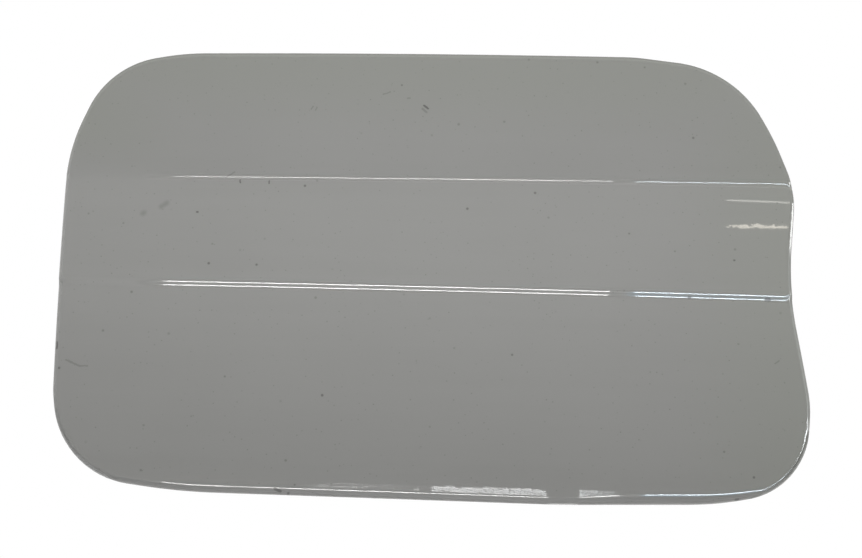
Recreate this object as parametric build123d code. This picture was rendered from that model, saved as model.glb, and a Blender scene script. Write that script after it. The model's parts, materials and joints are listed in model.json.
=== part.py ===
from build123d import *
from math import asin, cos, degrees, radians, sin, tan
import os

# Lid seen from outside the car: X to the right, Y into the car, Z up, lid centre at X = Z = 0
lid_width = 225.0
lid_height = 137.6
left, right = -lid_width / 2, lid_width / 2
top, bottom = lid_height / 2, -lid_height / 2
plan_radius = 2200.0        # crown of the painted face from left to right
edge_margin = 6.0           # how far the pressed face runs on past the lid edge before it is trimmed

# Pressed lines of the painted face: drop below the lid's top at its left end, middle and right end
upper_line_drop = (41.5, 41.3, 39.7)
lower_line_drop = (74.6, 75.5, 75.9)

# Lean of the painted face in degrees, down positive, and radii of the two steps
upper_zone_lean = (1.5, 2.5)
band_lean = (-3.0, -0.5)
lower_zone_lean = (-0.5, 8.5)
upper_line_lean = 17.65     # steepest lean in the upper step
lower_line_lean = 23.4      # steepest lean in the lower step
upper_line_radii = (3.5, 3.5)
lower_line_radii = (3.5, 3.5)

# Hemmed edge: painted skin folded round the rim of the inner panel
skin_t = 0.9
inner_t = 0.8
hem_gap = 0.15
edge_roll = 2.3
fold_round = 0.5
cavity_round = 0.9
hem_lip = 8.0
rim_inset = 2.0             # inner panel stops this far inside the lid edge
edge_t = 2 * skin_t + inner_t + 2 * hem_gap

# Pan of the inner panel
plateau_y = 15.0
plateau_inset = 17.0
pan_draft = 25.0
pan_round = 3.0
pan_front_y = -4.0
bead_length = 92.0
bead_width = 12.0
bead_depth = 2.5
bead_draft = 30.0
bead_x = 20.0
bead_z = 27.0
drain_r = 3.0
drain_spots = ((left + 50.0, bottom + 20.0), (right - 74.0, bottom + 20.0))
coat_hole_r = 5.0
coat_hole_spots = ((left + 62.0, top - 29.0), (right - 66.0, top - 23.0))

# Hinge
pivot_x = left + 28.5
pivot_y = plateau_y + 11.0
pin_r = 2.5
pin_fit = 0.05              # radial running clearance on the pin
arm_t = 1.6
arm_left = pivot_x - 5.0
arm_right = pivot_x + 50.0
arm_half_z = 10.0
arm_boss_r = 6.5
arm_bend = 2.4
weld_r = 2.5
weld_depth = 0.4
arm_weld_x = (pivot_x + 18.0, pivot_x + 30.0, pivot_x + 42.0)
bush_barrel_r = 3.5
bush_flange_r = 5.5
bush_flange_t = 0.8
ear_gap = 0.2               # end float between bush flange and base ear
base_t = 2.0
base_face_y = pivot_y + 22.0
base_boss_r = 7.0
base_left = pivot_x - 6.0
base_ear_right = pivot_x + 13.0
base_bend = 3.0
foot_left = base_ear_right + 3.0
foot_right = foot_left + 26.0
foot_half_z = 25.0
foot_corner = 6.0
neck_overlap = 1.0          # how far the neck runs into the ears and the foot
bolt_x = foot_left + 16.0
bolt_spacing = 34.0
bolt_hole_r = 3.3
pin_head_r = 4.2
pin_head_t = 2.0
pin_head_round = 0.7
pin_tail = 2.4
pin_lead = 0.6
groove_r = 2.0
groove_w = 0.8
clip_t = 0.7
clip_r = 5.0
clip_slot = 3.2
clip_gap = 0.8              # between the clip's ring and the pin
clip_tooth = 2.4
clip_bite = 0.5             # teeth stop this far inside the clip's edge

# Pop-up spring
wire_r = 0.7
coil_r = 4.6
coil_pitch = 2.0
coil_turns = 4
leg_lean = 20.0             # how far the arm leg points towards the lid
spring_touch = 0.05

# Latch, stops and cap holder on the pan
striker_t = 1.5
striker_right = right - 25.5
striker_left = striker_right - 21.0
striker_half_z = 11.0
striker_tip_y = plateau_y + 18.0
latch_hole_y = plateau_y + 9.0
latch_hole_r = 4.5
striker_bend = 2.5
striker_tip_round = 5.0
striker_corner = 3.0
striker_weld_inset = 6.0
striker_weld_spread = 10.0
stop_spots = {"upper": (right - 34.5, top - 33.0), "lower": (right - 32.5, bottom + 31.0)}
stop_r = 6.5
stop_height = 7.0
stop_round = 3.0
stop_stem_r = 3.0
stop_bulb_r = 3.9
bulb_length = 3.4
bulb_lead = (1.6, 0.9)
stem_fit = 0.2
holder_x = 22.0
holder_half_x = 12.0
holder_half_z = 9.0
holder_t = 2.5
holder_corner = 4.0
fork_y = plateau_y + 9.0
fork_t = 3.5
fork_z = 4.0
fork_outer_r = 14.0
fork_inner_r = 9.5
fork_mouth = 13.0
fork_round = 1.5
post_half_x = 5.0
post_inset = (0.4, 1.0)     # post inside the fork's inner and outer edge
stud_r = 2.4
stud_bulb_r = 3.0
stud_spread = 16.0

# Edge of the lid: where neighbouring runs would meet, and the radius that joins them
corners = [
    (left + 34.6, top - 1.3, 78.0),
    (left + 11.1, top - 5.5, 27.0),
    (left - 0.3, top - 33.4, 54.5),
    (left + 1.6, bottom + 30.1, 26.0),
    (left + 5.2, bottom + 6.5, 26.5),
    (left + 40.0, bottom + 1.8, 198.0),
    (right - 73.9, bottom, 217.0),
    (right - 29.0, bottom + 0.9, 98.0),
    (right - 2.1, bottom + 5.7, 22.5),
    (right + 0.3, bottom + 30.1, 39.0),
    (right - 0.0365 * lid_height, bottom + 0.473 * lid_height, 0.67 * lid_height),
    (right - 1.2, top - 41.6, 28.5),
    (right - 7.2, top - 25.7, 76.0),
    (right - 19.1, top - 3.2, 33.5),
    (right - 50.3, top, 58.5),
]


def outline(inset=0.0):
    """Face bounded by the lid edge, drawn in evenly by inset."""
    points = [Vector(x, z) for x, z, _ in corners]
    runs = [(b - a).normalized() for a, b in zip(points, points[1:] + points[:1])]
    arcs = []
    for i, (_, _, radius) in enumerate(corners):
        before, after = runs[i - 1], runs[i]
        n0, n1 = Vector(-before.Y, before.X), Vector(-after.Y, after.X)
        corner = points[i] + (n0 + n1) * (inset / (1 + n0.dot(n1)))
        bulges = before.cross(after).Z > 0
        reach = (radius - inset if bulges else radius + inset) * tan(radians(before.get_angle(after)) / 2)
        arcs.append(TangentArc(corner - before * reach, corner + after * reach, tangent=before))
    lines = [Line(a @ 1, b @ 0) for a, b in zip(arcs, arcs[1:] + arcs[:1])]
    return make_face(Curve() + arcs + lines)


def at_depth(y):
    """Plane facing the outside of the car, y into the car."""
    return Plane.XZ.offset(-y)


def prism(inset=0.0):
    return extrude(at_depth(0) * outline(inset), amount=base_face_y, both=True)


def face_arcs(station):
    """Start height of the pressed face and its arcs at one station: radius, lean before, lean after."""
    upper_z, lower_z = top - upper_line_drop[station], top - lower_line_drop[station]
    tops, bands, lows = ([radians(a) for a in z] for z in (upper_zone_lean, band_lean, lower_zone_lean))
    step1, step2 = radians(upper_line_lean), radians(lower_line_lean)
    z0, z5 = top + edge_margin, bottom - edge_margin
    z1 = upper_z + upper_line_radii[0] * (sin(step1) - sin(tops[1]))
    z2 = upper_z - upper_line_radii[1] * (sin(step1) - sin(bands[0]))
    z3 = lower_z + lower_line_radii[0] * (sin(step2) - sin(bands[1]))
    z4 = lower_z - lower_line_radii[1] * (sin(step2) - sin(lows[0]))
    return z0, [
        ((z0 - z1) / (sin(tops[1]) - sin(tops[0])), *tops),
        (upper_line_radii[0], tops[1], step1),
        (-upper_line_radii[1], step1, bands[0]),
        ((z2 - z3) / (sin(bands[1]) - sin(bands[0])), *bands),
        (lower_line_radii[0], bands[1], step2),
        (-lower_line_radii[1], step2, lows[0]),
        ((z4 - z5) / (sin(lows[1]) - sin(lows[0])), *lows),
    ]


def face_line(depth, station):
    """Section of the pressed face at one station, set back evenly by depth: a chain of tangent arcs."""
    height, arcs = face_arcs(station)
    point = Vector(0, height) + Vector(cos(arcs[0][1]), sin(arcs[0][1])) * depth
    chain = []
    for radius, lean0, lean1 in arcs:
        turn = Vector(cos(lean0) - cos(lean1), sin(lean0) - sin(lean1))
        end = point + turn * (radius - depth)
        chain.append(TangentArc(point, end, tangent=(sin(lean0), -cos(lean0))))
        point = end
    return chain


def crowned(section):
    """Solid lofted through the left, middle and right sections, fanned round the crown axis."""
    axis = Axis((0, plan_radius, 0), (0, 0, 1))
    reach = degrees(asin((right + edge_margin) / plan_radius))
    return loft([(Plane.YZ * make_face(section(i))).rotate(axis, reach * (i - 1)) for i in range(3)])


def layer(depth0, depth1):
    def section(station):
        near, far = face_line(depth0, station), face_line(depth1, station)
        return Curve() + near + far + [Line(near[0] @ 0, far[0] @ 0), Line(near[-1] @ 1, far[-1] @ 1)]

    return crowned(section)


def behind(depth):
    def section(station):
        near = face_line(depth, station)
        first, last = near[0] @ 0, near[-1] @ 1
        return Curve() + near + Polyline(first, (base_face_y, first.Y), (base_face_y, last.Y), last)

    return crowned(section)


def rim_edges(solid, facing):
    """Edges where the side of the lid meets the face that looks along facing * Y."""
    side = solid.faces().filter_by(lambda f: abs(f.normal_at().Y) < 0.5).edges()
    ends = solid.faces().filter_by(lambda f: f.normal_at().Y * facing > 0.5).edges()
    return [e for e in ends if e in side]


def drill(x, z, radius, y0, y1):
    """Round bar along Y, for holes, dimples and stems."""
    return extrude(at_depth(y0) * Pos(x, z) * Circle(radius), amount=y0 - y1)


def upright(sketch, z0, z1):
    """Plate normal to Z."""
    return extrude(Plane.XY.offset(z0) * sketch, amount=z1 - z0)


def block(x0, x1, y0, y1, z0, z1):
    return Pos((x0 + x1) / 2, (y0 + y1) / 2, (z0 + z1) / 2) * Box(x1 - x0, y1 - y0, z1 - z0)


def long_edges(solid, y, z):
    """Edges along X that lie at the given y and at height z or -z."""
    return [e for e in solid.edges().filter_by(Axis.X)
            if abs(e.center().Y - y) < 0.01 and abs(abs(e.center().Z) - z) < 0.01]


# Painted skin with its hem
sheet = prism() & layer(0, edge_t)
sheet = fillet(rim_edges(sheet, -1), edge_roll)
sheet = fillet(rim_edges(sheet, 1), fold_round)
pocket = prism(skin_t) & layer(skin_t, edge_t - skin_t)
pocket = fillet(rim_edges(pocket, -1), cavity_round)
outer_skin = sheet - pocket - (prism(hem_lip) & behind(edge_t - skin_t - hem_gap))


def pan(depth):
    """Block filling the pan, depth inside the metal's rear face."""
    lean = radians(pan_draft)

    def ring(y):
        inset = plateau_inset - (plateau_y - y) * tan(lean) + depth / cos(lean)
        return at_depth(y) * outline(inset)

    body = loft([ring(pan_front_y), ring(plateau_y - depth)], ruled=True)
    return fillet(body.faces().sort_by(Axis.Y)[-1].edges(), pan_round - depth)


def bead(z, depth):
    """Room taken out of the pan by one pressed bead, depth inside the metal's rear face."""
    lean = radians(bead_draft)
    grow = 2 * depth / cos(lean)

    def slot(y):
        width = bead_width + grow - 2 * (plateau_y - y) * tan(lean)
        return at_depth(y) * Pos(bead_x, z) * SlotOverall(bead_length - bead_width + width, width)

    return loft([slot(plateau_y), slot(plateau_y - bead_depth - depth)], ruled=True)


# Inner panel: rim held in the hem, walls and plateau of the pan
rim_front = skin_t + hem_gap
pan_back, pan_inside = pan(0), pan(inner_t)
for z in (bead_z, -bead_z):
    pan_back -= bead(z, 0)
    pan_inside -= bead(z, inner_t)
rim = (prism(rim_inset) & layer(rim_front, rim_front + inner_t)) - pan_inside
inner_panel = rim + ((pan_back - pan_inside) & behind(rim_front + inner_t / 2))
for x, z in drain_spots:
    inner_panel -= drill(x, z, drain_r, 0, base_face_y)
for x, z in coat_hole_spots:
    inner_panel -= drill(x, z, coat_hole_r, 0, base_face_y)
for x, z in stop_spots.values():
    inner_panel -= drill(x, z, stop_stem_r + stem_fit, 0, base_face_y)
stud_x = (holder_x - stud_spread / 2, holder_x + stud_spread / 2)
for x in stud_x:
    inner_panel -= drill(x, 0, stud_r + stem_fit, 0, base_face_y)

# Hinge arm: pressed channel spot welded to the plateau
pivot = Pos(pivot_x, pivot_y)
arm_web_y = plateau_y + arm_t
arm_ear_z = arm_half_z - arm_t
arm_foot = [Line((arm_left, plateau_y), (arm_right, plateau_y))]
arm_ear = make_hull((pivot * Circle(arm_boss_r)).edges() + arm_foot)
hinge_arm = upright(arm_ear, -arm_half_z, arm_half_z)
hinge_arm -= block(left, 0, arm_web_y, base_face_y, -arm_ear_z, arm_ear_z)
hinge_arm = fillet(long_edges(hinge_arm, plateau_y, arm_half_z), arm_bend)
hinge_arm = fillet(long_edges(hinge_arm, arm_web_y, arm_ear_z), arm_bend - arm_t)
hinge_arm -= upright(pivot * Circle(bush_barrel_r + pin_fit), -arm_half_z, arm_half_z)
for x in arm_weld_x:
    hinge_arm -= drill(x, 0, weld_r, arm_web_y - weld_depth, arm_web_y)

# Hinge base: pressed bracket with two ears and a bolted foot
ear_z = arm_half_z + bush_flange_t + ear_gap
base_half_z = ear_z + base_t
base_web_y = base_face_y - base_t
foot_line = [Line((base_left, base_face_y), (base_ear_right, base_face_y))]
base_ear = make_hull((pivot * Circle(base_boss_r)).edges() + foot_line)
hinge_base = upright(base_ear, -base_half_z, base_half_z)
hinge_base -= block(left, 0, 0, base_web_y, -ear_z, ear_z)
hinge_base = fillet(long_edges(hinge_base, base_face_y, base_half_z), base_bend)
hinge_base = fillet(long_edges(hinge_base, base_web_y, ear_z), base_bend - base_t)
foot = at_depth((base_web_y + base_face_y) / 2) * Pos((foot_left + foot_right) / 2, 0) * RectangleRounded(
    foot_right - foot_left, 2 * foot_half_z, foot_corner)
hinge_base += extrude(foot, amount=base_t / 2, both=True)
neck_half_z = base_half_z - base_bend
hinge_base += block(base_ear_right - neck_overlap, foot_left + neck_overlap, base_web_y, base_face_y,
                    -neck_half_z, neck_half_z)
hinge_base -= upright(pivot * Circle(pin_r + pin_fit), -base_half_z, base_half_z)
for z in (bolt_spacing / 2, -bolt_spacing / 2):
    hinge_base -= drill(bolt_x, z, bolt_hole_r, base_web_y, base_face_y)

# Pin, retaining clip and nylon bushes
groove_top = -base_half_z - ear_gap
pin_end = groove_top - groove_w - pin_tail + pin_head_t / 2
hinge_pin = upright(pivot * Circle(pin_r), pin_end, base_half_z)
hinge_pin = chamfer(hinge_pin.edges().group_by(Axis.Z)[0], pin_lead)
head = upright(pivot * Circle(pin_head_r), base_half_z, base_half_z + pin_head_t)
hinge_pin += fillet(head.edges().group_by(Axis.Z)[-1], pin_head_round)
hinge_pin -= upright(pivot * (Circle(pin_head_r) - Circle(groove_r)), groove_top - groove_w, groove_top)

clip_z = groove_top - (groove_w + clip_t) / 2
clip_ring = Circle(clip_r) - Circle(pin_r + clip_gap)
tooth_reach = clip_r - clip_bite
clip_teeth = Rectangle(2 * tooth_reach, clip_tooth)
clip_teeth += Pos(0, tooth_reach / 2) * Rectangle(clip_tooth, tooth_reach)
clip_mouth = Circle(groove_r + pin_fit) + Pos(0, -clip_r) * Rectangle(clip_slot, 2 * clip_r)
clip_shape = clip_ring + clip_teeth - clip_mouth
pin_clip = upright(pivot * clip_shape, clip_z, clip_z + clip_t)

bush = upright(pivot * (Circle(bush_barrel_r) - Circle(pin_r + pin_fit)), arm_ear_z, arm_half_z)
bush_flange = Circle(bush_flange_r) - Circle(pin_r + pin_fit)
bush += upright(pivot * bush_flange, arm_half_z, arm_half_z + bush_flange_t)
bushes = {"upper": bush, "lower": mirror(bush, Plane.XY)}

# Pop-up spring: coil round the pin, one leg on the base web and one on the arm web
coil_height = coil_pitch * (coil_turns + (90 - leg_lean) / 360)
coil_path = Pos(pivot_x, pivot_y, -coil_height / 2) * Rot(0, 0, 180) * Helix(coil_pitch, coil_height, coil_r)
start, finish = coil_path @ 0, coil_path @ 1
base_leg = Line((start.X, base_web_y - spring_touch, start.Z), start)
leg_rest_y = arm_web_y + wire_r * cos(radians(leg_lean)) + spring_touch
arm_leg_x = (finish.Y - leg_rest_y) / tan(radians(leg_lean))
arm_leg = Line(finish, (finish.X + arm_leg_x, leg_rest_y, finish.Z))
wire = Wire([base_leg.edge(), coil_path.edge(), arm_leg.edge()])
wire_end = Plane(base_leg @ 0, z_dir=base_leg % 0)
lid_spring = sweep(wire_end * Circle(wire_r), path=wire, transition=Transition.TRANSFORMED)

# Latch striker: folded tab with the plunger hole
striker_fold = Polyline((striker_left, plateau_y), (striker_right, plateau_y), (striker_right, striker_tip_y),
                        (striker_right - striker_t, striker_tip_y),
                        (striker_right - striker_t, plateau_y + striker_t),
                        (striker_left, plateau_y + striker_t), close=True)
latch_striker = upright(make_face(striker_fold), -striker_half_z, striker_half_z)
folds = latch_striker.edges().filter_by(Axis.Z)
outer_fold = [e for e in folds if e.center().X > striker_right - 0.1 and e.center().Y < plateau_y + 0.1]
inner_fold = [e for e in folds if abs(e.center().X - striker_right + striker_t) < 0.01
              and e.center().Y < plateau_y + striker_t + 0.1]
latch_striker = fillet(outer_fold, striker_bend)
latch_striker = fillet(latch_striker.edges().filter_by(Axis.Z).sort_by_distance(inner_fold[0].center())[0],
                       striker_bend - striker_t)
latch_striker = fillet(latch_striker.edges().filter_by(Axis.X).group_by(Axis.Y)[-1], striker_tip_round)
latch_striker = fillet(latch_striker.edges().filter_by(Axis.Y).group_by(Axis.X)[0], striker_corner)
latch_hole = Plane.YZ.offset(striker_left) * Pos(latch_hole_y, 0) * Circle(latch_hole_r)
latch_striker -= extrude(latch_hole, amount=lid_width)
for z in (-striker_weld_spread / 2, striker_weld_spread / 2):
    latch_striker -= drill(striker_left + striker_weld_inset, z, weld_r, plateau_y + striker_t - weld_depth,
                           plateau_y + striker_t)


def push_stud(x, z, stem_r, bulb_r):
    """Stem through the inner panel with a snap bulb behind it."""
    shelf = plateau_y - inner_t - stem_fit
    stem = drill(x, z, stem_r, shelf - bulb_length / 2, plateau_y)
    tip = drill(x, z, bulb_r, shelf - bulb_length, shelf)
    return stem + chamfer(tip.edges().group_by(Axis.Y)[0], *bulb_lead)


# Rubber bump stops
stops = {}
for name, (x, z) in stop_spots.items():
    button = drill(x, z, stop_r, plateau_y, plateau_y + stop_height)
    button = fillet(button.edges().group_by(Axis.Y)[-1], stop_round)
    stops[name] = button + push_stud(x, z, stop_stem_r, stop_bulb_r)

# Cap holder: fork on a post, snapped into the plateau
plate = RectangleRounded(2 * holder_half_x, 2 * holder_half_z, holder_corner)
cap_holder = extrude(at_depth(plateau_y) * Pos(holder_x, 0) * plate, amount=-holder_t)
mouth = Pos(0, fork_outer_r) * Rectangle(fork_mouth, 2 * fork_outer_r)
fork = Circle(fork_outer_r) - Circle(fork_inner_r) - mouth
fork = fillet(fork.vertices(), fork_round)
cap_holder += extrude(at_depth(fork_y) * Pos(holder_x, fork_z) * fork, amount=-fork_t)
post_top = fork_z - fork_inner_r - post_inset[0]
post_foot = fork_z - fork_outer_r + post_inset[1]
cap_holder += block(holder_x - post_half_x, holder_x + post_half_x, plateau_y + holder_t / 2, fork_y + fork_t,
                    post_foot, post_top)
for x in stud_x:
    cap_holder += push_stud(x, 0, stud_r, stud_bulb_r)

# Shared frame: origin between the two bolt holes, on the rear face of the hinge base
nodes = {
    "outer_skin": outer_skin,
    "inner_panel": inner_panel,
    "hinge_arm": hinge_arm,
    "hinge_base": hinge_base,
    "hinge_pin": hinge_pin,
    "pin_clip": pin_clip,
    "pivot_bush_upper": bushes["upper"],
    "pivot_bush_lower": bushes["lower"],
    "lid_spring": lid_spring,
    "latch_striker": latch_striker,
    "bump_stop_upper": stops["upper"],
    "bump_stop_lower": stops["lower"],
    "cap_holder": cap_holder,
}
os.makedirs("parts", exist_ok=True)
for name, solid in nodes.items():
    placed = Pos(-bolt_x, -base_face_y, 0) * solid
    export_step(placed, f"parts/{name}.step")
    box = placed.bounding_box()
    print(name, len(placed.solids()), round(placed.volume, 1), [round(v, 1) for v in (*box.min, *box.max)])
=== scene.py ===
import json
import math

import bpy
from mathutils import Matrix, Vector

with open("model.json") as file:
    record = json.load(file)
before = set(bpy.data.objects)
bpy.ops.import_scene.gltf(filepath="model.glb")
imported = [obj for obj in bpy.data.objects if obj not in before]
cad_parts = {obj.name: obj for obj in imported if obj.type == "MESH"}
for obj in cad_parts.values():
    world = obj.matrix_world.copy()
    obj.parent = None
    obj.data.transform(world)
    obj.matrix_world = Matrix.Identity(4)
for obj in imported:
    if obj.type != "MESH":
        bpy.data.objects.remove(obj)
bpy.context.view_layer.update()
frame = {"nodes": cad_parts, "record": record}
print("frame in:", len(frame["nodes"]), "nodes")

lidCentre = Vector((0.052, -0.048, 0.0))  # middle of the painted face, metres


class Sock:  # one output of a node tree, usable in sums
    def __init__(self, tree, socket):
        self.tree, self.socket = tree, socket

    def node(self, kind, settings=None, inputs=None, out=0):
        made = self.tree.nodes.new("ShaderNode" + kind)
        for key, value in (settings or {}).items():
            if key == "stops":
                ramp = made.color_ramp.elements
                while len(ramp) < len(value):
                    ramp.new(0.5)
                for stop, (place, colour) in zip(ramp, value):
                    stop.position, stop.color = place, colour
            else:
                setattr(made, key, value)
        for key, value in (inputs or {}).items():
            if isinstance(value, Sock):
                self.tree.links.new(value.socket, made.inputs[key])
            else:
                made.inputs[key].default_value = value
        return Sock(self.tree, made.outputs[out])

    def maths(self, operation, first, second):
        return self.node("Math", {"operation": operation}, {0: first, 1: second})

    def __add__(self, other):
        return self.maths("ADD", self, other)

    def __radd__(self, other):
        return self.maths("ADD", other, self)

    def __sub__(self, other):
        return self.maths("SUBTRACT", self, other)

    def __rsub__(self, other):
        return self.maths("SUBTRACT", other, self)

    def __mul__(self, other):
        return self.maths("MULTIPLY", self, other)

    def __rmul__(self, other):
        return self.maths("MULTIPLY", other, self)

    def __pow__(self, other):
        return self.maths("POWER", self, other)

    def __or__(self, other):  # union of two masks
        return self.maths("MAXIMUM", self, other)

    def step(self, low, high):  # soft 0 to 1 between low and high
        return self.node("MapRange", {"interpolation_type": "SMOOTHSTEP"}, {0: self, 1: low, 2: high})

    def slope(self, low, high):  # straight 0 to 1 between low and high
        return self.node("MapRange", {}, {0: self, 1: low, 2: high})

    def axis(self, which):
        return self.node("SeparateXYZ", {}, {0: self}, out=which)

    def mix(self, first, second):  # this value blends two colours
        return self.node("Mix", {"data_type": "RGBA"}, {0: self, 6: first, 7: second}, out=2)

    def vector(self, operation, second, out=0):
        operand = 3 if operation == "SCALE" else 1
        return self.node("VectorMath", {"operation": operation}, {0: self, operand: second}, out)


def newFinish(name, values):  # material, and its object coordinates in millimetres
    finish = bpy.data.materials.new(name)
    finish.use_nodes = True
    tree = finish.node_tree
    metres = Sock(tree, tree.nodes.new("ShaderNodeTexCoord").outputs["Object"])
    shader = tree.nodes["Principled BSDF"]
    for key, value in values.items():
        shader.inputs[key].default_value = value
    return finish, metres.vector("MULTIPLY", (1000.0, 1000.0, 1000.0))


def feed(finish, links):
    tree = finish.node_tree
    for key, value in links.items():
        tree.links.new(value.socket, tree.nodes["Principled BSDF"].inputs[key])
    return finish


def noise(mm, size, detail=3.0):  # size in millimetres
    return mm.node("TexNoise", {}, {"Vector": mm, "Scale": 1.0 / size, "Detail": detail})


def patches(mm, size, low, high, detail=3.0):  # noise cut to soft patches of 0 to 1
    return noise(mm, size, detail).step(low, high)


def specks(mm, spacing, radius, strength, core=0.4):  # sparse round dots of uneven strength
    sockets = {"Vector": mm, "Scale": 1.0 / spacing}
    uneven = mm.node("TexVoronoi", {}, sockets, out=1).axis(0)
    away = mm.node("TexVoronoi", {}, sockets)
    return (1.0 - away.step(core * radius / spacing, radius / spacing)) * uneven * strength


def ownNormal(mm):
    return mm.node("TexCoord", out=1)


def bump(height, depth):  # depth in millimetres
    return height.node("Bump", {}, {"Height": height, "Distance": depth * 0.001, "Strength": 1.0})


def stroke(flat, x0, z0, x1, z1, width, core=0.25, rim=0.6):  # mask of a line drawn on the painted face
    run = Vector((x1 - x0, 0.0, z1 - z0))
    off = flat.vector("SUBTRACT", (x0, 0.0, z0))
    along = off.vector("DOT_PRODUCT", tuple(run / run.length_squared), out=1).slope(0.0, 1.0)
    foot = off.node("VectorMath", {"operation": "SCALE"}, {0: tuple(run), 3: along})
    return 1.0 - off.vector("DISTANCE", foot, out=1).step(core * width, rim * width)


def strokes(flat, lines):
    mask = stroke(flat, *lines[0])
    for line in lines[1:]:
        mask = mask | stroke(flat, *line)
    return mask


def span(across, x0, x1, x2, x3, share):  # rises from x0 to x1, falls from x2 to x3
    return across.step(x0, x1) * (1.0 - across.step(x2, x3)) * share


def grey(level, warm=0.0):
    return (level * (1 + warm), level, level * (1 - warm), 1.0)


def sineOf(degrees):
    return math.sin(math.radians(degrees))


def cosineOf(degrees):
    return math.cos(math.radians(degrees))


# Painted skin. Its normal is worked out from the pressed section, so that the reflected lines run true.
pressing = {  # millimetres from the lid centre, leans in degrees, gains of lean as sines
    "crown": 2200.0, "reach": 118.5, "edge": 74.8,  # crown radius, half width, half height
    "upper": (27.5, 0.9, 0.7), "lower": (-6.7, -0.65, 0.25),  # height of each line: middle, tilt, bow
    "leans": (1.5, 2.5, 17.65, -3.0, -0.5, 23.4, -0.5, 8.5),  # where the section's arcs meet, top edge first
    "arcs": ("face", "rise", "fall", "face", "rise", "fall", "face"),
    "radius": 3.5, "peaks": (2, 5),  # crease radius, and each line's steepest lean in the list
    "fade": (-90.0, -82.0), "soft": 3.3,  # both lines die out here, into one soft bend
    "start": (-82.0, -72.0, 0.035), "finish": (95.0, 106.0, 0.0115),  # lean lost and gained, upper line
    "spread": (40.0, 75.0, 0.05, 0.035),  # lean gained along the lower line, and more of it on the right
    "skew": (0.1, 0.024),  # lean from which the lower line is turned, and how far
    "hooks": ((107.4, 109.2, -1.0), (105.6, 107.3, 1.3)),  # ends of the lines turned by the right edge
    "paintedLineLight": (1.0, 0.7), "dimmed": (0.0, 0.2),  # how much each line's colour is lightened, a painted light against the shade of its lean, and what is left of it where the line dies out
    "slack": (0.5, 0.35), "skin": (0.05, 0.12),  # facets behind the curved lines, depth of the face
    "sill": ((-107.3, -62.3), (-72.5, -67.0), (38.6, -68.8), (83.5, -67.9), (110.4, -63.1)),
    "sillBlend": 1.8,
    "roll": 2.3, "rollLean": 7.4,  # bottom edge: radius, and lean where the roll starts
    "wide": (38.0, 62.0, 75.0, 104.0, 0.9),  # run where the roll starts higher
    "flattened": (34.8, 35.6, 43.2, 44.0, 0.11), "flatFrom": 0.004,  # run where it starts with a step
    "steepest": 0.9995,
}


def pressedLines(across):  # height and slope of the two lines
    part = across * (1 / pressing["reach"])
    heights, slopes = [], []
    for middle, tilt, bow in (pressing["upper"], pressing["lower"]):
        heights.append(part * (part * bow + tilt) + middle)
        slopes.append((part * (2 * bow) + tilt) * (1 / pressing["reach"]))
    return heights, slopes


def pressedSection(across, height):  # lean, depth, drift, the two ridges, and where the lines are alive
    sines = [sineOf(lean) for lean in pressing["leans"]]
    cosines = [cosineOf(lean) for lean in pressing["leans"]]
    heights, slopes = pressedLines(across)
    knots, turned = [pressing["edge"]], []
    for line, peak, (x0, x1, shift) in zip(heights, pressing["peaks"], pressing["hooks"]):
        above, below = sines[peak] - sines[peak - 1], sines[peak] - sines[peak + 1]
        knots += [line + pressing["radius"] * above, line, line - pressing["radius"] * below]
        turned.append(height - across.slope(x0, x1) ** 2.0 * shift)
    knots.append(-pressing["edge"])
    sine, depth, drift, crease, ridges = sines[0], 0.0, slopes[0], 0.0, [0.0, 0.0]
    for i, arc in enumerate(pressing["arcs"]):
        gain, fall = sines[i + 1] - sines[i], knots[i] - knots[i + 1]
        along = height.slope(knots[i], knots[i + 1])
        bow = fall * (gain / 2)
        depth = along * (along * bow + (fall * ((cosines[i] - cosines[i + 1]) / gain) - bow)) + depth
        if arc == "face":
            sine = along * gain + sine
            if 0 < i < len(pressing["arcs"]) - 1:  # between the two lines
                drift = along * (slopes[1] - slopes[0]) + drift
        else:
            which = 0 if i < 3 else 1
            along = turned[which].slope(knots[i], knots[i + 1])
            crease = along * gain + crease
            ridge = gain if arc == "rise" else sines[i - 1] - sines[i]
            ridges[which] = along * ridge + ridges[which]
    alive, soft = across.step(*pressing["fade"]), pressing["soft"]
    bend = (1.0 - height.step(heights[0] - soft, heights[0] + soft)) * (sines[3] - sines[1])
    (x0, x1, lost), (x2, x3, gained) = pressing["start"], pressing["finish"]
    crease = crease + ridges[0] * (across.step(x0, x1) * lost - lost + across.step(x2, x3) * gained)
    x0, x1, gained, more = pressing["spread"]
    crease = crease + ridges[1] * (across.step(x0, x1) * more + gained)
    sine = sine + crease * alive + bend * (1.0 - alive)
    leanFrom, skew = pressing["skew"]
    drift = drift + ridges[1].step(0.0, leanFrom) * skew
    return sine, depth, drift, ridges, alive


def bottomEdge(across):  # height of the lid's bottom edge
    runs = []
    for (x0, z0), (x1, z1) in zip(pressing["sill"], pressing["sill"][1:]):
        runs.append((across - x0) * ((z1 - z0) / (x1 - x0)) + z0)
    sill = runs[1] | runs[2]
    for end in (runs[0], runs[3]):
        sill = sill.node("Math", {"operation": "SMOOTH_MAX"}, {0: sill, 1: end, 2: pressing["sillBlend"]})
    return sill


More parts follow.
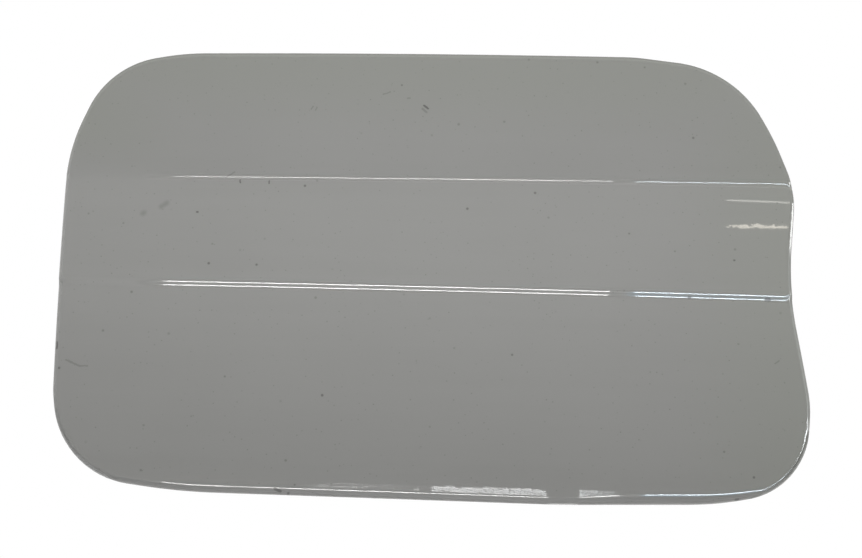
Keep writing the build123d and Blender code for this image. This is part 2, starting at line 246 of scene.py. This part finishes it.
def pressedFace(mm):  # place on the face, its lean and drift, the painted light that makes each line paler, mm behind the face
    lid = mm.vector("SUBTRACT", tuple(lidCentre * 1000))
    across, into, height = lid.axis(0), lid.axis(1), lid.axis(2)
    sine, depth, drift, ridges, alive = pressedSection(across, height)
    sill, start = bottomEdge(across), sineOf(pressing["rollLean"])
    wide, flattened = span(across, *pressing["wide"]), span(across, *pressing["flattened"])
    roll = height.slope(sill + pressing["roll"] * (1 - start) + wide, sill) * (1 - start)
    rolled = 1.0 - (1.0 - (roll + start) ** 2.0) ** 0.5
    depth = depth + (rolled - (1 - cosineOf(pressing["rollLean"]))) * pressing["roll"]
    slack = ridges[0] * pressing["slack"][0] + ridges[1] * pressing["slack"][1]
    behind = into - depth - across * across * (0.5 / pressing["crown"]) - slack
    shown, pale = alive | behind.step(*pressing["skin"]), 0.0
    # painted light: each line's colour is made paler to offset the shade its steep lean gets
    for ridge, paintedLineLight, dimmed in zip(ridges, pressing["paintedLineLight"], pressing["dimmed"]):
        pale = ridge * (shown * (1.0 - dimmed) + dimmed) * paintedLineLight + pale
    sine = sine + roll + roll.step(0.0, pressing["flatFrom"]) * flattened
    return across, height - sill, sine, drift, pale, behind


hemDents = {  # millimetres
    "band": (2.3, 2.7, 3.4, 4.6), "tilt": 0.035,  # heights above the edge, and lean
    "runs": ((-40.0, -30.0, -2.0, 2.0, 0.14), (0.5, 3.0, 33.8, 35.0, 1.0),
             (43.6, 44.2, 45.0, 58.0, 0.65)),
    "ragged": (2.5, 1.6),  # size and reach of the uneven upper border
    "grain": (0.4, 0.36, 0.66), "streak": (0.8, 0.38, 0.62, 2.0), "stretch": (0.08, 1.0, 1.0),
    "blend": (0.75, 0.15, 0.5),  # shares of grain, streak and run
    "cut": (0.6, 0.95), "runEnds": (0.0, 0.3),
}


def hemBand(mm, across, rise):  # brushed marks where the hem has pulled the face just above the bottom edge
    first, second, third, fourth = hemDents["band"]
    size, reach = hemDents["ragged"]
    ragged = (noise(mm, size) - 0.5) * reach + rise
    band = rise.step(first, second) * (1.0 - ragged.step(third, fourth))
    patch = 0.0
    for run in hemDents["runs"]:
        patch = span(across, *run) + patch
    grain = patches(mm, *hemDents["grain"])
    streak = patches(mm.vector("MULTIPLY", hemDents["stretch"]), *hemDents["streak"])
    fine, long, whole = hemDents["blend"]
    marks = (grain * fine + streak * long + patch * whole).step(*hemDents["cut"])
    return band * marks * patch.step(*hemDents["runEnds"])


bodyPaint = {  # millimetres; strokes are x and z of both ends, width, and core where given
    "deep": (0.273, 0.273, 0.263, 1.0), "pale": (0.280, 0.280, 0.270, 1.0), "cloud": (0.35, 0.65),
    "cloudSize": 40.0, "cloudShare": 0.6, "wipedSize": 6.0, "wipedShare": 0.4,
    "stretch": (0.05, 1.0, 1.0),
    # painted shade: a darker, greener tone toward the right and top edges and the upper left corner
    "edgeShade": (0.267, 0.272, 0.252, 1.0), "edgeShadeFrom": (66.0, 110.0), "edgeShadeTop": (104.0, 132.0),
    # painted light: how much paler the pressed lines are made; painted shade: how much darker what faces up
    # is made
    "edgeShadeCorner": (88.0, 108.0), "ridge": 1.6, "upShade": 0.4, "upward": (0.1, 0.9),
    "rough": 0.022, "hemRough": 0.3, "hem": (2.2, 3.0),
    "brushRough": 0.3, "flawRough": 0.4, "dotRough": 0.2,
    "front": (0.4, 0.8),  # marks end this far behind the face
    "peelSize": 0.9, "peelFrom": (84.0, 90.0), "peelRise": (78.0, 80.0, 84.0, 87.0, 0.008),
    "wornFrom": (98.0, 104.0), "wornBehind": (0.12, 0.3), "wornRise": (14.0, 22.0, 67.0, 76.0, 0.9),
    "soil": grey(0.07, 0.05), "smear": grey(0.14, 0.03), "primer": grey(0.06, 0.06),
    "dotInk": 0.65, "faintInk": 0.3, "smudgeInk": 0.4, "cutInk": 0.85,
    "dots": ((1.8, 0.27, 0.55), (7.0, 0.55, 1.0)),  # spacing, radius, strength
    "wander": 1.2, "wanderReach": (0.5, 0.0, 0.5),  # ragged borders of the marks
    "cuts": ((49.0, 50.9, 50.4, 50.0, 0.65), (-18.8, 16.2, -18.6, 16.2, 0.75),
             (143.0, 4.5, 143.1, 4.4, 0.7)),
    "chips": ((129.0, -7.3, 129.4, -7.3, 1.0), (152.3, -7.3, 153.2, -7.3, 1.2),
              (142.0, -66.1, 142.5, -66.1, 0.9), (-58.1, -24.0, -58.0, -25.8, 0.8),
              (8.3, -65.5, 9.9, -66.2, 0.9), (12.2, -66.7, 12.3, -66.7, 0.8),
              (-6.3, 26.5, -6.2, 25.8, 0.5), (2.6, 26.4, 2.6, 25.6, 0.5)),
    "faint": ((48.7, 49.9, 49.9, 48.9, 0.8), (36.5, 54.3, 38.6, 55.1, 0.5), (43.9, 53.2, 44.8, 53.2, 0.5),
              (15.0, 50.1, 14.6, 49.2, 0.5), (16.2, 49.8, 15.9, 48.9, 0.5), (-10.7, 27.2, -8.0, 29.0, 0.4),
              (154.2, -26.5, 155.4, -25.6, 0.5), (-54.8, -29.3, -50.8, -31.0, 0.6),
              (-50.8, -31.0, -48.4, -31.0, 0.5), (-40.9, 12.5, -40.7, 12.5, 0.6),
              (-13.5, 6.2, -13.4, 6.2, 0.6), (143.4, -20.9, 143.5, -20.9, 0.6),
              (-30.7, -48.1, -30.6, -48.0, 0.6)),
    "smudges": ((-35.2, 15.6, -34.9, 15.8, 2.4, 0.0), (-29.7, 17.8, -28.1, 19.0, 2.2, 0.0)),
}


def skinNormal(mm, across, sine, drift, face):  # worked out on the face, the mesh's own behind it
    lean = (1.0 - sine * sine) ** 0.5
    sideways = across * lean * (1 / pressing["crown"]) + drift * sine
    pressed = mm.node("CombineXYZ", {}, {0: sideways, 1: lean * -1.0, 2: sine * -1.0})
    normal = mm.node("Mix", {"data_type": "VECTOR"}, {0: face, 4: ownNormal(mm), 5: pressed}, out=1)
    spaces = {"vector_type": "NORMAL", "convert_from": "OBJECT", "convert_to": "WORLD"}
    return mm.node("VectorTransform", spaces, {0: normal})


def cleanPaint(mm, across, rise, paintedLight):  # clouded grey; painted shade and light: a darker, greener tone at the edges, paler pressed lines, and darker where the skin faces up
    streaked = mm.vector("MULTIPLY", bodyPaint["stretch"])
    wiped = noise(streaked, bodyPaint["wipedSize"])
    cloud = noise(mm, bodyPaint["cloudSize"]) * bodyPaint["cloudShare"] + wiped * bodyPaint["wipedShare"]
    colour = cloud.step(*bodyPaint["cloud"]).mix(bodyPaint["deep"], bodyPaint["pale"])
    corner = (across * -1.0).step(*bodyPaint["edgeShadeFrom"]) * rise.step(*bodyPaint["edgeShadeCorner"])
    shadedEdges = across.step(*bodyPaint["edgeShadeFrom"]) | corner | rise.step(*bodyPaint["edgeShadeTop"])
    # painted shade with a greener cast at the edges
    colour = shadedEdges.mix(colour, bodyPaint["edgeShade"])
    upward = ownNormal(mm).axis(2).step(*bodyPaint["upward"])  # painted shade, darker where the skin faces up, on the rolled top edge
    # painted light makes the pressed lines paler, painted shade makes what faces up darker
    return colour.vector("SCALE", paintedLight * bodyPaint["ridge"] + 1.0 - upward * bodyPaint["upShade"])


def markPaint(mm, colour, front):  # colour with its specks and scratches, and how rough they are
    shift = mm.node("TexNoise", {}, {"Vector": mm, "Scale": bodyPaint["wander"]}, out=1)
    flat = mm.vector("MULTIPLY", (1.0, 0.0, 1.0))
    ragged = flat.vector("ADD", shift.vector("MULTIPLY", bodyPaint["wanderReach"]))
    small, large = (specks(mm, *dot) for dot in bodyPaint["dots"])
    dots = (small | large) * front
    kinds = ("cuts", "chips", "faint", "smudges")
    cuts, chips, faint, smudges = (strokes(ragged, bodyPaint[kind]) * front for kind in kinds)
    colour = (dots * bodyPaint["dotInk"] | faint * bodyPaint["faintInk"]).mix(colour, bodyPaint["soil"])
    colour = (smudges * bodyPaint["smudgeInk"]).mix(colour, bodyPaint["smear"])
    colour = ((cuts | chips) * bodyPaint["cutInk"]).mix(colour, bodyPaint["primer"])
    return colour, (dots * bodyPaint["dotRough"] | cuts | chips) * bodyPaint["flawRough"]


def paintBody():
    finish, mm = newFinish("bodyPaint", {"IOR": 1.5})
    across, rise, sine, drift, pale, behind = pressedFace(mm)
    face, front = 1.0 - behind.step(*pressing["skin"]), 1.0 - behind.step(*bodyPaint["front"])
    band = hemBand(mm, across, rise)
    peel = span(rise, *bodyPaint["peelRise"]) * across.step(*bodyPaint["peelFrom"])
    tilted = sine + band * hemDents["tilt"] + (noise(mm, bodyPaint["peelSize"]) - 0.5) * peel
    sine = tilted.maths("MINIMUM", tilted, pressing["steepest"])
    # pale carries the painted light that makes the pressed lines paler
    colour, flaw = markPaint(mm, cleanPaint(mm, across, rise, pale * front), front)
    worn = across.step(*bodyPaint["wornFrom"]) * behind.step(*bodyPaint["wornBehind"])
    worn = worn * span(rise, *bodyPaint["wornRise"])
    rough = behind.step(*bodyPaint["hem"]) * bodyPaint["hemRough"] + bodyPaint["rough"] + flaw
    rough = rough + band * bodyPaint["brushRough"] + worn
    normal = skinNormal(mm, across, sine, drift, face)
    return feed(finish, {"Base Color": colour, "Roughness": rough, "Normal": normal})


innerPaint = {
    "deep": grey(0.176), "pale": grey(0.216, 0.01), "cloud": (22.0, 0.35, 0.7),
    "rough": 0.42, "paleRough": -0.1,
    "dust": grey(0.34, 0.08), "dustShare": 0.55, "dustRough": 0.25,  # lies on what faces up
    "dustPatches": (3.0, 0.35, 0.75), "upward": (0.35, 0.95),
    "dots": (5.0, 0.45, 0.5), "soil": grey(0.05, 0.1), "fine": (0.7, 2.0), "fineDepth": 0.02,
}


def paintInner():
    finish, mm = newFinish("innerPaint", {"IOR": 1.5})
    cloud = patches(mm, *innerPaint["cloud"])
    dust = ownNormal(mm).axis(2).step(*innerPaint["upward"]) * patches(mm, *innerPaint["dustPatches"])
    colour = cloud.mix(innerPaint["deep"], innerPaint["pale"])
    colour = (dust * innerPaint["dustShare"]).mix(colour, innerPaint["dust"])
    colour = specks(mm, *innerPaint["dots"]).mix(colour, innerPaint["soil"])
    rough = cloud * innerPaint["paleRough"] + dust * innerPaint["dustRough"] + innerPaint["rough"]
    normal = bump(noise(mm, *innerPaint["fine"]), innerPaint["fineDepth"])
    return feed(finish, {"Base Color": colour, "Roughness": rough, "Normal": normal})


baseCoat = {
    "deep": grey(0.016), "pale": grey(0.0272, 0.03), "cloud": (6.0, 0.3, 0.7),
    "rough": 0.4, "paleRough": 0.12,
    "bolts": (17.0, -17.0), "ringIn": (3.2, 3.6), "ringOut": (6.1, 6.6),  # scuffed bare under the washers
    "bare": grey(0.3, 0.03), "barePatches": (1.6, 0.48, 0.68, 4.0), "fine": (0.5, 2.0), "fineDepth": 0.012,
}


def coatBase():
    finish, mm = newFinish("baseCoat", {"IOR": 1.5})
    ring = 0.0
    for z in baseCoat["bolts"]:
        away = mm.vector("MULTIPLY", (1.0, 0.0, 1.0)).vector("DISTANCE", (0.0, 0.0, z), out=1)
        ring = ring + away.step(*baseCoat["ringIn"]) * (1.0 - away.step(*baseCoat["ringOut"]))
    bare = ring * patches(mm, *baseCoat["barePatches"])
    cloud = patches(mm, *baseCoat["cloud"])
    colour = bare.mix(cloud.mix(baseCoat["deep"], baseCoat["pale"]), baseCoat["bare"])
    rough = cloud * baseCoat["paleRough"] + baseCoat["rough"]
    normal = bump(noise(mm, *baseCoat["fine"]), baseCoat["fineDepth"])
    return feed(finish, {"Base Color": colour, "Metallic": bare, "Roughness": rough, "Normal": normal})


zinc = {
    "warm": (0.62, 0.62, 0.58, 1.0), "cool": (0.56, 0.58, 0.62, 1.0), "tint": (5.0, 0.3, 0.7),
    "bloom": grey(0.45), "bloomPatches": (1.1, 0.58, 0.75, 4.0), "bloomShare": 0.5,
    "rough": 0.26, "tintRough": 0.06, "bloomRough": 0.3, "fine": (0.4, 2.0), "fineDepth": 0.004,
}


def plateZinc():
    finish, mm = newFinish("zinc", {"Metallic": 1.0})
    tint, bloom = patches(mm, *zinc["tint"]), patches(mm, *zinc["bloomPatches"])
    colour = (bloom * zinc["bloomShare"]).mix(tint.mix(zinc["warm"], zinc["cool"]), zinc["bloom"])
    rough = bloom * zinc["bloomRough"] + tint * zinc["tintRough"] + zinc["rough"]
    normal = bump(noise(mm, *zinc["fine"]), zinc["fineDepth"])
    return feed(finish, {"Base Color": colour, "Roughness": rough, "Normal": normal})


nylon = {
    "pale": (0.72, 0.69, 0.60, 1.0), "aged": (0.60, 0.54, 0.42, 1.0), "ageing": (6.0, 0.3, 0.7),
    "grease": (0.20, 0.17, 0.12, 1.0), "greasy": (2.0, 0.5, 0.75), "greaseShare": 0.5,
    "rough": 0.5, "greaseRough": 0.2, "fine": 0.3, "fineDepth": 0.004,
}


def mouldNylon():
    finish, mm = newFinish("nylon", {})
    greasy = patches(mm, *nylon["greasy"])
    colour = patches(mm, *nylon["ageing"]).mix(nylon["pale"], nylon["aged"])
    colour = (greasy * nylon["greaseShare"]).mix(colour, nylon["grease"])
    rough = nylon["rough"] - greasy * nylon["greaseRough"]
    normal = bump(noise(mm, nylon["fine"]), nylon["fineDepth"])
    return feed(finish, {"Base Color": colour, "Roughness": rough, "Normal": normal})


stopRubber = {
    "black": grey(0.014), "bloom": grey(0.05, 0.06), "dust": (1.5, 0.4, 0.7, 4.0),
    "rough": 0.62, "dustRough": 0.2, "fine": 0.35, "fineDepth": 0.02,
}


def mouldRubber():
    finish, mm = newFinish("stopRubber", {"IOR": 1.45})
    dust = patches(mm, *stopRubber["dust"])
    colour = dust.mix(stopRubber["black"], stopRubber["bloom"])
    rough = dust * stopRubber["dustRough"] + stopRubber["rough"]
    normal = bump(noise(mm, stopRubber["fine"]), stopRubber["fineDepth"])
    return feed(finish, {"Base Color": colour, "Roughness": rough, "Normal": normal})


blackPlastic = {
    "black": grey(0.018), "scuffed": grey(0.07, 0.02), "scuffShare": 0.6,
    "scuffs": (4.0, 0.58, 0.72, 4.0), "stretch": (1.0, 1.0, 6.0),
    "rough": 0.46, "scuffRough": 0.15, "grain": 0.45, "grainDepth": 0.05,
}


def mouldHolder():
    finish, mm = newFinish("blackPlastic", {"IOR": 1.48})
    cells = {"Vector": mm, "Scale": 1 / blackPlastic["grain"]}
    grain = mm.node("TexVoronoi", {"feature": "SMOOTH_F1"}, cells)
    scuff = patches(mm.vector("MULTIPLY", blackPlastic["stretch"]), *blackPlastic["scuffs"])
    colour = (scuff * blackPlastic["scuffShare"]).mix(blackPlastic["black"], blackPlastic["scuffed"])
    rough = scuff * blackPlastic["scuffRough"] + blackPlastic["rough"]
    normal = bump(grain, blackPlastic["grainDepth"])
    return feed(finish, {"Base Color": colour, "Roughness": rough, "Normal": normal})


finishes = {
    "body_paint": paintBody(), "inner_paint": paintInner(), "base_coat": coatBase(), "zinc": plateZinc(),
    "nylon": mouldNylon(), "stop_rubber": mouldRubber(), "black_plastic": mouldHolder(),
}
for part in frame["record"]["subparts"]:
    frame["nodes"][part["node"]].material_slots[0].material = finishes[part["material_slot"]]

skinMesh = {"weld": 2e-6}  # metres


def smoothSkin(skin):  # one smooth normal over the rolled edge
    skin.modifiers.new("weld", "WELD").merge_threshold = skinMesh["weld"]
    skin.modifiers.new("even", "WEIGHTED_NORMAL")


smoothSkin(frame["nodes"]["outer_skin"])
print("finishes:", len(finishes))

# Studio: a surround, an overhead soft box, and low strips that draw the pressed lines
surround = {  # radiance: an even one shades the part, a graded one shows in reflections
    "even": 0.40,
    "graded": ((-90, 2.6), (-50, 2.4), (-38, 1.8), (-30, 0.8), (-20, 0.4), (-12, 0.4), (-7, 0.5), (-4, 0.6),
               (0, 0.72), (4, 0.72), (7.3, 0.8), (10, 0.9), (12.5, 0.95), (13.5, 0.92), (16, 0.92),
               (19, 0.86), (22, 0.76), (25, 0.5), (32, 0.35), (45, 0.2), (90, 0.2)),  # degrees up, radiance
    "sides": ((1.0, 0.05, 0.45, -0.3), (-1.0, 0.05, 0.45, -0.5),
              (-1.0, 0.5, 0.85, 0.8)),  # way across, where the gain starts and ends, gain
}


def dressWorld():
    world = bpy.data.worlds.new("surround")
    bpy.context.scene.world = world
    world.use_nodes = True
    tree = world.node_tree
    tree.nodes.clear()
    facing = Sock(tree, tree.nodes.new("ShaderNodeTexCoord").outputs["Generated"])
    stops = [(sineOf(angle) * 0.5 + 0.5, grey(level)) for angle, level in surround["graded"]]
    tone = facing.node("ValToRGB", {"stops": stops}, {0: facing.axis(2) * 0.5 + 0.5})
    strength = 1.0
    for way, start, end, gain in surround["sides"]:
        strength = (facing.axis(0) * way).step(start, end) * gain + strength
    even = facing.node("Background", {}, {0: grey(surround["even"]), 1: 1.0})
    graded = facing.node("Background", {}, {0: tone, 1: strength})
    white = facing.node("Background", {}, {0: grey(1.0), 1: 1.0})
    lit = facing.node("MixShader", {}, {0: facing.node("LightPath", out=3), 1: even, 2: graded})
    shown = facing.node("MixShader", {}, {0: facing.node("LightPath"), 1: lit, 2: white})
    tree.links.new(shown.socket, tree.nodes.new("ShaderNodeOutputWorld").inputs[0])


dressWorld()

frontLine = -0.6  # lamps beyond this, in front of the lid, face straight back; the others face the lid
lamps = {  # place from the lid centre and size in metres; mirrored ones only show in reflections
    "keyBox": {"place": (0.0, -1.1, 1.9), "size": (1.6, 1.0), "radiance": 12.25},
    "whiteStrip": {"place": (-0.0995, -2.0, -0.653), "size": (1.177, 0.205), "radiance": 34.0,
                   "mirrored": True},
    "blueStrip": {"place": (0.958, -2.0, -0.653), "size": (0.8, 0.205), "radiance": 40.0, "mirrored": True,
                  "colour": (0.80, 0.91, 1.0)},
    "sideStrip": {"place": (1.2, -0.47, -0.14), "size": (1.5, 0.12), "radiance": 30.0, "mirrored": True,
                  "colour": (0.93, 0.97, 1.0), "turn": 19.0},
    "paleApron": {"place": (-0.52, -2.2, -1.05), "size": (2.28, 0.8), "radiance": 1.3, "mirrored": True,
                  "colour": (1.0, 1.0, 0.98)},
    "blueApron": {"place": (1.285, -2.2, -1.05), "size": (1.33, 0.8), "radiance": 2.8, "mirrored": True,
                  "colour": (0.48, 0.77, 1.0)},
    "thinSlit": {"place": (0.888, -2.0, 0.8686), "size": (0.18, 0.004), "radiance": 9.0, "mirrored": True,
                 "colour": (1.0, 0.99, 0.93), "turn": 1.0},
    "warmSlit": {"place": (0.878, -2.0, 0.760), "size": (0.185, 0.013), "radiance": 7.0, "mirrored": True,
                 "colour": (1.0, 0.93, 0.80), "turn": 2.4, "shape": "ELLIPSE"},
    "edgePanel": {"place": (0.893, 0.103, 0.165), "size": (0.5, 0.2), "radiance": 9.0, "mirrored": True},
    "cornerPanel": {"place": (-0.735, 0.224, -0.49), "size": (0.15, 0.15), "radiance": 12.0,
                    "mirrored": True},
    "backLeft": {"place": (-1.4, 1.3, 1.6), "size": (1.0, 1.0), "radiance": 8.0},
    "backRight": {"place": (1.4, 1.3, 1.6), "size": (1.0, 1.0), "radiance": 8.0},
}


def hangLamp(name, place, size, radiance, colour=(1.0, 1.0, 1.0), mirrored=False, turn=0.0,
             shape="RECTANGLE"):  # turn in degrees
    lamp = bpy.data.lights.new(name, "AREA")
    lamp.shape = shape
    lamp.size, lamp.size_y = size
    lamp.energy = radiance * math.pi * size[0] * size[1]
    lamp.color = colour
    hung = bpy.data.objects.new(name, lamp)
    bpy.context.scene.collection.objects.link(hung)
    hung.visible_diffuse = not mirrored
    hung.visible_glossy = mirrored  # the soft boxes shade the lid without a glint on its edges
    target = Vector((place[0] if place[1] < frontLine else 0.0, 0.0, 0.0))
    aim = (target - Vector(place)).to_track_quat("-Z", "Y").to_matrix().to_4x4()
    spin = Matrix.Rotation(math.radians(turn), 4, "Z")
    hung.matrix_world = Matrix.Translation(lidCentre + Vector(place)) @ aim @ spin


for name, lamp in lamps.items():
    hangLamp(name, **lamp)

floorPlan = {"drop": 0.22, "size": 2.4, "colour": grey(0.8), "rough": 0.9}  # runs back from under the lid


def layFloor():
    bpy.ops.mesh.primitive_plane_add(size=floorPlan["size"])
    floor = bpy.context.object
    floor.name = "floor"
    floor.location = lidCentre + Vector((0.0, floorPlan["size"] / 2, -floorPlan["drop"]))
    pale = bpy.data.materials.new("paleFloor")
    pale.use_nodes = True
    shader = pale.node_tree.nodes["Principled BSDF"]
    shader.inputs["Base Color"].default_value = floorPlan["colour"]
    shader.inputs["Roughness"].default_value = floorPlan["rough"]
    floor.data.materials.append(pale)


layFloor()

shot = {  # width and focal length in pixels, place from the lid centre in metres, sensor in mm
    "width": 862, "focal": 1200.0, "place": (0.0, -0.3459, -0.0839), "rise": 13.0, "roll": 1.1,
    "sensor": 36.0, "near": 0.01,
}


def setCamera():
    lens = bpy.data.cameras.new("camera")
    lens.sensor_fit, lens.sensor_width = "HORIZONTAL", shot["sensor"]
    lens.lens = shot["sensor"] * shot["focal"] / shot["width"]
    lens.clip_start = shot["near"]
    camera = bpy.data.objects.new("camera", lens)
    bpy.context.scene.collection.objects.link(camera)
    pitch = Matrix.Rotation(math.radians(90 + shot["rise"]), 4, "X")
    roll = Matrix.Rotation(math.radians(shot["roll"]), 4, "Z")
    camera.matrix_world = Matrix.Translation(lidCentre + Vector(shot["place"])) @ pitch @ roll
    bpy.context.scene.camera = camera


setCamera()
bpy.context.scene.view_settings.view_transform = "Standard"
print("studio, lamps and camera set")
